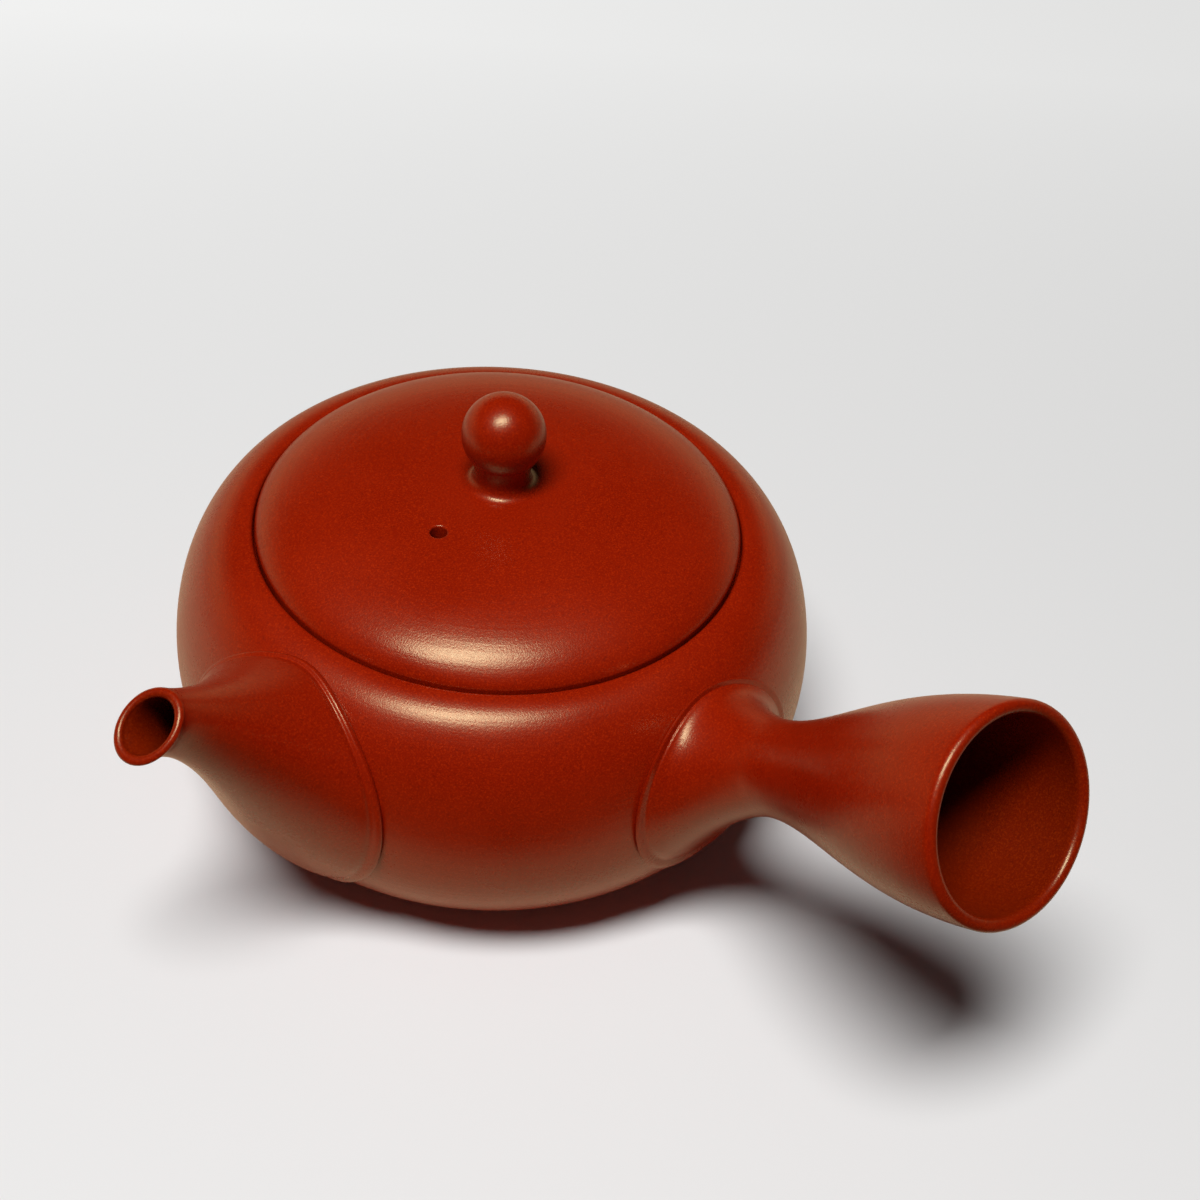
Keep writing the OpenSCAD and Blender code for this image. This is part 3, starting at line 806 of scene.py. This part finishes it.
def makeHandle():
    h = handleSizes
    neckR, endR = h["neck"] / 2, h["end"] / 2
    boreR, innerR = neckR - h["wall"], endR - h["wall"]
    end = (neckSpot[0] + h["length"] * cosd(h["slope"]), neckSpot[1] + h["length"] * sind(h["slope"]))
    rings = edgeRings(handleBase, handleSeamR, handleSlope)
    rings += handleSkin(handleSeamR, neckR, seamSizes["edge"], h["rings"])
    rings += bellRings(neckR, endR, h["bellRings"])
    lipAt = len(rings)
    run = math.dist(handleBase, neckSpot) + h["length"]
    rings += lipRings(end, endR, innerR, 1, h["cut"], run, -h["endTurn"])
    rings += bellRings(boreR, innerR, h["bellRings"])[::-1]
    rings += handleSkin(handleSeamR - seamSizes["width"], boreR, 0, h["rings"])[::-1]
    rings += seamRings(handleBase, handleSeamR, handleSlope)
    turn = 180 + h["angle"]
    return lofted("handleLuted", rings, handleBase, handleSlope, h["sides"], turn, clayHandle, lipAt)


handle = makeHandle()
print("handle made", len(handle.data.polygons))


# port through the bowl's wall, and the strainer: a perforated dome over it

strainerSizes = {
    "portStep": 4.5, "portSides": 64, "lap": 2, "wall": 2, "hole": 1.5, "rings": 5, "ringHoles": 6,
    "spread": 57, "holeSides": 16, "pinLength": 2.5, "reach": 96, "bite": 0.5,
    "unevenness": 0.02, "seed": 3,
    "turns": 96, "markDepth": 0, "markSpacing": 1,
}
roomTurning = {"turns": 128, "markDepth": 0, "markSpacing": 1}  # the bowl's inside, which trims the dome
portR = spoutSeamR - seamSizes["width"] - strainerSizes["portStep"]


def portFrame(x, z):
    # z axis out of the bowl along the spout's root, which points along -x
    shift = Matrix.Translation(Vector((x, 0, z)) * mm)
    tilt = Matrix.Rotation(math.radians(90 - spoutSlope), 4, "Y")
    return Matrix.Rotation(math.pi, 4, "Z") @ shift @ tilt


def cylinderAt(name, r, length, place):
    bm = bmesh.new()
    bmesh.ops.create_cone(
        bm, cap_ends=True, segments=strainerSizes["portSides"], radius1=r * mm, radius2=r * mm,
        depth=length * mm, matrix=place)
    mesh = bpy.data.meshes.new(name)
    bm.to_mesh(mesh)
    bm.free()
    piece = bpy.data.objects.new(name, mesh)
    bpy.context.scene.collection.objects.link(piece)
    return piece


def cutAway(piece, cutter, operation="DIFFERENCE"):
    mod = piece.modifiers.new("cut", "BOOLEAN")
    mod.operation = operation
    mod.solver = "EXACT"
    mod.object = cutter
    asPlainMesh(piece)
    dropObject(cutter)


cutAway(bowl, cylinderAt("port", portR, 2 * portR, portFrame(*spoutBase)))
oneMaterial(bowl, clayBowl)
faceOut(bowl)
smooth(bowl)
print("bowl made", len(bowl.data.polygons))


def strainerTree():
    tree, gin, gout, ids = newTree("perforatedDome", [
        ("Dome", "NodeSocketGeometry", None), ("Radius", "NodeSocketFloat", 0.016),
        ("Wall", "NodeSocketFloat", 0.002), ("Hole", "NodeSocketFloat", 0.0015),
        ("Rings", "NodeSocketInt", 5), ("Ring Holes", "NodeSocketInt", 6),
        ("Spread", "NodeSocketFloat", 1.0), ("Unevenness", "NodeSocketFloat", 0.02),
        ("Seed", "NodeSocketInt", 1), ("Sides", "NodeSocketInt", 16), ("Clay", "NodeSocketMaterial", None)])
    n = tree.nodes
    per = gin.outputs["Ring Holes"]
    rings = gin.outputs["Rings"]

    def holesTo(k, neighbour):
        # 1 + per * k * neighbour / 2, the centre's hole and the rings' holes
        pairs = mathNode(tree, "MULTIPLY", mathNode(tree, "MULTIPLY", per, k), neighbour)
        return mathNode(tree, "ADD", 1, mathNode(tree, "DIVIDE", pairs, 2))

    line = n.new("GeometryNodeMeshLine")
    link(tree, holesTo(rings, mathNode(tree, "ADD", rings, 1)), line.inputs["Count"])
    index = n.new("GeometryNodeInputIndex").outputs[0]
    # the ring of an index, from the same formula solved for k
    eighths = mathNode(tree, "MULTIPLY", mathNode(tree, "SUBTRACT", index, 0.5), 8)
    inner = mathNode(tree, "ADD", mathNode(tree, "DIVIDE", eighths, per), 1)
    root = mathNode(tree, "SQRT", mathNode(tree, "MAXIMUM", inner, 0))
    ring = mathNode(tree, "FLOOR", mathNode(tree, "DIVIDE", mathNode(tree, "ADD", root, 1), 2))
    ring = mathNode(tree, "MULTIPLY", ring, mathNode(tree, "GREATER_THAN", index, 0.5))
    first = holesTo(ring, mathNode(tree, "SUBTRACT", ring, 1))
    inRing = mathNode(tree, "MAXIMUM", mathNode(tree, "MULTIPLY", per, ring), 1)
    share = mathNode(tree, "DIVIDE", mathNode(tree, "SUBTRACT", index, first), inRing)
    turn = mathNode(tree, "MULTIPLY", share, 2 * math.pi)
    tilt = mathNode(tree, "MULTIPLY", mathNode(tree, "DIVIDE", ring, rings), gin.outputs["Spread"])
    wander = n.new("FunctionNodeRandomValue")
    wander.data_type = "FLOAT"
    link(tree, gin.outputs["Seed"], wander.inputs["Seed"])
    shake = mathNode(tree, "SUBTRACT", wander.outputs[1], 0.5)
    shake = mathNode(tree, "MULTIPLY", shake, gin.outputs["Unevenness"])
    tilt = mathNode(tree, "ADD", tilt, shake)
    halfWall = mathNode(tree, "DIVIDE", gin.outputs["Wall"], 2)
    middle = mathNode(tree, "SUBTRACT", gin.outputs["Radius"], halfWall)
    flat = mathNode(tree, "MULTIPLY", middle, mathNode(tree, "SINE", tilt))
    spot = n.new("ShaderNodeCombineXYZ")
    link(tree, mathNode(tree, "MULTIPLY", flat, mathNode(tree, "COSINE", turn)), spot.inputs[0])
    link(tree, mathNode(tree, "MULTIPLY", flat, mathNode(tree, "SINE", turn)), spot.inputs[1])
    link(tree, mathNode(tree, "MULTIPLY", middle, mathNode(tree, "COSINE", tilt)), spot.inputs[2])
    put = n.new("GeometryNodeSetPosition")
    link(tree, line.outputs[0], put.inputs["Geometry"])
    link(tree, spot.outputs[0], put.inputs["Position"])
    aim = n.new("FunctionNodeAlignRotationToVector")
    aim.axis = "Z"
    link(tree, n.new("GeometryNodeInputPosition").outputs[0], aim.inputs["Vector"])
    pin = n.new("GeometryNodeMeshCylinder")
    link(tree, gin.outputs["Sides"], pin.inputs["Vertices"])
    link(tree, mathNode(tree, "DIVIDE", gin.outputs["Hole"], 2), pin.inputs["Radius"])
    link(tree, mathNode(tree, "MULTIPLY", gin.outputs["Wall"], strainerSizes["pinLength"]), pin.inputs["Depth"])
    pins = n.new("GeometryNodeInstanceOnPoints")
    link(tree, put.outputs[0], pins.inputs["Points"])
    link(tree, pin.outputs["Mesh"], pins.inputs["Instance"])
    link(tree, aim.outputs[0], pins.inputs["Rotation"])
    real = n.new("GeometryNodeRealizeInstances")
    link(tree, pins.outputs[0], real.inputs[0])
    cut = n.new("GeometryNodeMeshBoolean")
    cut.operation = "DIFFERENCE"
    cut.solver = "EXACT"
    link(tree, gin.outputs["Dome"], cut.inputs["Mesh 1"])
    link(tree, real.outputs[0], cut.inputs["Mesh 2"])
    last = n.new("GeometryNodeRealizeInstances")
    link(tree, cut.outputs[0], last.inputs[0])
    paint = n.new("GeometryNodeSetMaterial")
    link(tree, last.outputs[0], paint.inputs["Geometry"])
    link(tree, gin.outputs["Clay"], paint.inputs["Material"])
    link(tree, paint.outputs[0], gout.inputs[0])
    return tree, ids


def makeStrainer():
    s = strainerSizes
    radius = portR + s["lap"] + s["wall"]
    inner = radius - s["wall"]
    low = 90 - s["reach"]
    cap = arc(0, 0, radius, 90, low, 48) + arc(0, 0, inner, low, 90, 44)
    dome = thrown("strainerDome", [(max(r, 0), z) for r, z in cap], s, clayStrainer)
    tree, ids = strainerTree()
    mod = dome.modifiers.new("holes", "NODES")
    mod.node_group = tree
    mod[ids["Radius"]] = radius * mm
    mod[ids["Wall"]] = s["wall"] * mm
    mod[ids["Hole"]] = s["hole"] * mm
    mod[ids["Rings"]] = s["rings"]
    mod[ids["Ring Holes"]] = s["ringHoles"]
    mod[ids["Spread"]] = math.radians(s["spread"])
    mod[ids["Unevenness"]] = s["unevenness"]
    mod[ids["Seed"]] = s["seed"]
    mod[ids["Sides"]] = s["holeSides"]
    mod[ids["Clay"]] = clayStrainer
    asPlainMesh(dome)
    place = portFrame(bowlRadiusAt(spoutSeamZ) - bowlSizes["wall"], spoutSeamZ) @ Matrix.Rotation(math.pi, 4, "X")
    dome.data.transform(place)
    # trims the dome to the inside of the bowl, a little into its wall
    b = bowlSizes
    wallR = bowlR - b["wall"] + s["bite"]
    topZ = ledgeZ - b["ledgeThickness"] + s["bite"]
    room = quarter((wallR, bellyZ), (mouthR, topZ), b["upperFullness"], 30)[::-1]
    room += quarter((wallR, bellyZ), (footR, b["floor"]), b["lowerFullness"], 30)
    room = [(0, topZ)] + room + [(0, b["floor"])]
    space = thrown("room", room, roomTurning, clayStrainer)
    cutAway(dome, space, "INTERSECT")
    oneMaterial(dome, clayStrainer)
    faceOut(dome)
    smooth(dome, 40)
    return dome


strainer = makeStrainer()
print("strainer made", len(strainer.data.polygons))


# places on the bodies

for piece, body, node in ((bowl, "pot", "bowl"), (spout, "pot", "spout"), (handle, "pot", "handle"),
                          (strainer, "pot", "strainer"), (lid, "lid", "lid"), (knob, "lid", "lid_knob")):
    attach(piece, body)
    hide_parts(node)
print("pieces placed")


# studio, in metres and degrees: a pale floor, one soft key lamp, a room for reflections, and the camera

softKey = {
    "azimuth": 193, "elevation": 71.5, "distance": 1.2, "long": 0.635, "short": 0.325, "roll": 40, "power": 14.85,
}
paleFloor = {
    "color": (0.80, 0.795, 0.79), "size": 6.0, "roughness": 0.9, "shine": 0.1,
    "away": (0.75, 0.55, 0.35), "cardColor": (0.22, 0.05, 0.01), "cardAzimuth": 218, "cardFrom": 0.078, "cardTo": 0.1,
    "sweepPaintedLitLeft": (0.92, 0.92, 0.915), "sweepPaintedDimRight": (0.73, 0.73, 0.725), "sweepSide": 0.3,
    "sweepFrom": -0.02, "sweepTo": 0.3, "ringFrom": 0.2, "ringTo": 0.5, "horizonFrom": 0.5, "horizonTo": 1.6,
}
paleRoom = {
    "ambient": 0.02, "backdrop": 0.85, "color": (1.0, 0.66, 0.34), "top": 0.45,
    "darkAzimuth": 232, "darkFrom": -0.6, "darkTo": 0.1,
}
cameraSpot = {
    "location": (-0.175260, -0.138596, 0.238449), "turn": (47.4995, -4.2196, -52.5126), "lens": 50.98, "sensor": 36,
}


def addFloor():
    f = paleFloor
    size = f["size"] / 2 / mm
    corners = [(-size, -size, 0), (size, -size, 0), (size, size, 0), (-size, size, 0)]
    plane = meshObject("floor", corners, [(0, 1, 2, 3)])
    mat = bpy.data.materials.new("paleSweep")
    mat.use_nodes = True
    tree = mat.node_tree
    shader = tree.nodes["Principled BSDF"]
    path = tree.nodes.new("ShaderNodeLightPath")
    coords = tree.nodes.new("ShaderNodeTexCoord")
    # a dark card lies in front of the pot, for bounces and reflections only
    front = towards(tree, coords.outputs["Object"], f["cardAzimuth"])
    card = rampNode(tree, front, f["cardFrom"], f["cardTo"])
    away = mixTone(tree, card, f["away"], f["cardColor"])
    # behind the pot and far round it the camera sees a glowing pale sweep, with painted light falloff from the left
    # to the right
    back = towards(tree, coords.outputs["Object"], f["cardAzimuth"] - 180)
    ring = tree.nodes.new("ShaderNodeVectorMath")
    ring.operation = "LENGTH"
    link(tree, coords.outputs["Object"], ring.inputs[0])
    behind = rampNode(tree, back, f["sweepFrom"], f["sweepTo"])
    around = rampNode(tree, ring.outputs["Value"], f["ringFrom"], f["ringTo"])
    far = mathNode(tree, "MAXIMUM", behind, around)
    seen = mixTone(tree, far, f["color"], (0.0, 0.0, 0.0))
    link(tree, mixTone(tree, path.outputs["Is Camera Ray"], away, seen), shader.inputs["Base Color"])
    # painted light falloff on the sweep: brighter on the left, darker on the right
    side = towards(tree, coords.outputs["Object"], f["cardAzimuth"] + 90)
    across = rampNode(tree, side, -f["sweepSide"], f["sweepSide"])
    glow = mixTone(tree, across, f["sweepPaintedLitLeft"], f["sweepPaintedDimRight"])
    horizon = rampNode(tree, ring.outputs["Value"], f["horizonFrom"], f["horizonTo"])
    glow = mixTone(tree, horizon, glow, (paleRoom["backdrop"],) * 3)
    link(tree, glow, shader.inputs["Emission Color"])
    strength = mathNode(tree, "MULTIPLY", far, path.outputs["Is Camera Ray"])
    link(tree, strength, shader.inputs["Emission Strength"])
    shader.inputs["Roughness"].default_value = f["roughness"]
    shader.inputs["Specular IOR Level"].default_value = f["shine"]
    plane.data.materials.append(mat)


def keyWay():
    az, el = softKey["azimuth"], softKey["elevation"]
    return Vector((cosd(az) * cosd(el), sind(az) * cosd(el), sind(el)))


def addKey():
    lamp = bpy.data.lights.new("softKey", "AREA")
    lamp.shape = "ELLIPSE"
    lamp.size, lamp.size_y = softKey["long"], softKey["short"]
    lamp.energy = softKey["power"]
    spot = bpy.data.objects.new("softKey", lamp)
    spot.location = keyWay() * softKey["distance"]
    roll = Matrix.Rotation(math.radians(softKey["roll"]), 3, "Z")
    aim = keyWay().to_track_quat("Z", "Y").to_matrix() @ roll
    spot.rotation_euler = aim.to_euler()
    bpy.context.scene.collection.objects.link(spot)


def addWorld():
    world = bpy.data.worlds.new("paleRoom")
    bpy.context.scene.world = world
    world.use_nodes = True
    tree = world.node_tree
    tree.nodes.clear()
    out = tree.nodes.new("ShaderNodeOutputWorld")
    back = tree.nodes.new("ShaderNodeBackground")
    path = tree.nodes.new("ShaderNodeLightPath")
    coords = tree.nodes.new("ShaderNodeTexCoord")
    split = tree.nodes.new("ShaderNodeSeparateXYZ")
    link(tree, coords.outputs["Generated"], split.inputs[0])
    # reflections show a room that is pale at the horizon, dark overhead and dark towards the camera
    low = mathNode(tree, "SUBTRACT", 1, rampNode(tree, split.outputs[2], 0, paleRoom["top"]))
    side = towards(tree, coords.outputs["Generated"], paleRoom["darkAzimuth"])
    lit = mathNode(tree, "SUBTRACT", 1, rampNode(tree, side, paleRoom["darkFrom"], paleRoom["darkTo"]))
    room = tree.nodes.new("ShaderNodeVectorMath")
    room.operation = "SCALE"
    room.inputs[0].default_value = paleRoom["color"]
    link(tree, mathNode(tree, "MULTIPLY", low, lit), room.inputs["Scale"])
    shine = mathNode(tree, "MAXIMUM", path.outputs["Is Glossy Ray"], path.outputs["Is Transmission Ray"])
    unseen = mixTone(tree, shine, (paleRoom["ambient"],) * 3, room.outputs[0])
    seen = (paleRoom["backdrop"],) * 3
    link(tree, mixTone(tree, path.outputs["Is Camera Ray"], unseen, seen), back.inputs["Color"])
    link(tree, back.outputs[0], out.inputs["Surface"])


def addCamera():
    data = bpy.data.cameras.new("photoCamera")
    data.lens = cameraSpot["lens"]
    data.sensor_width = cameraSpot["sensor"]
    data.clip_start = 0.01
    data.dof.use_dof = False
    eye = bpy.data.objects.new("photoCamera", data)
    eye.location = cameraSpot["location"]
    eye.rotation_euler = Euler([math.radians(a) for a in cameraSpot["turn"]], "XYZ")
    bpy.context.scene.collection.objects.link(eye)
    bpy.context.scene.camera = eye


addFloor()
addKey()
addWorld()
addCamera()
bpy.context.scene.view_settings.view_transform = "Standard"
print("studio ready")
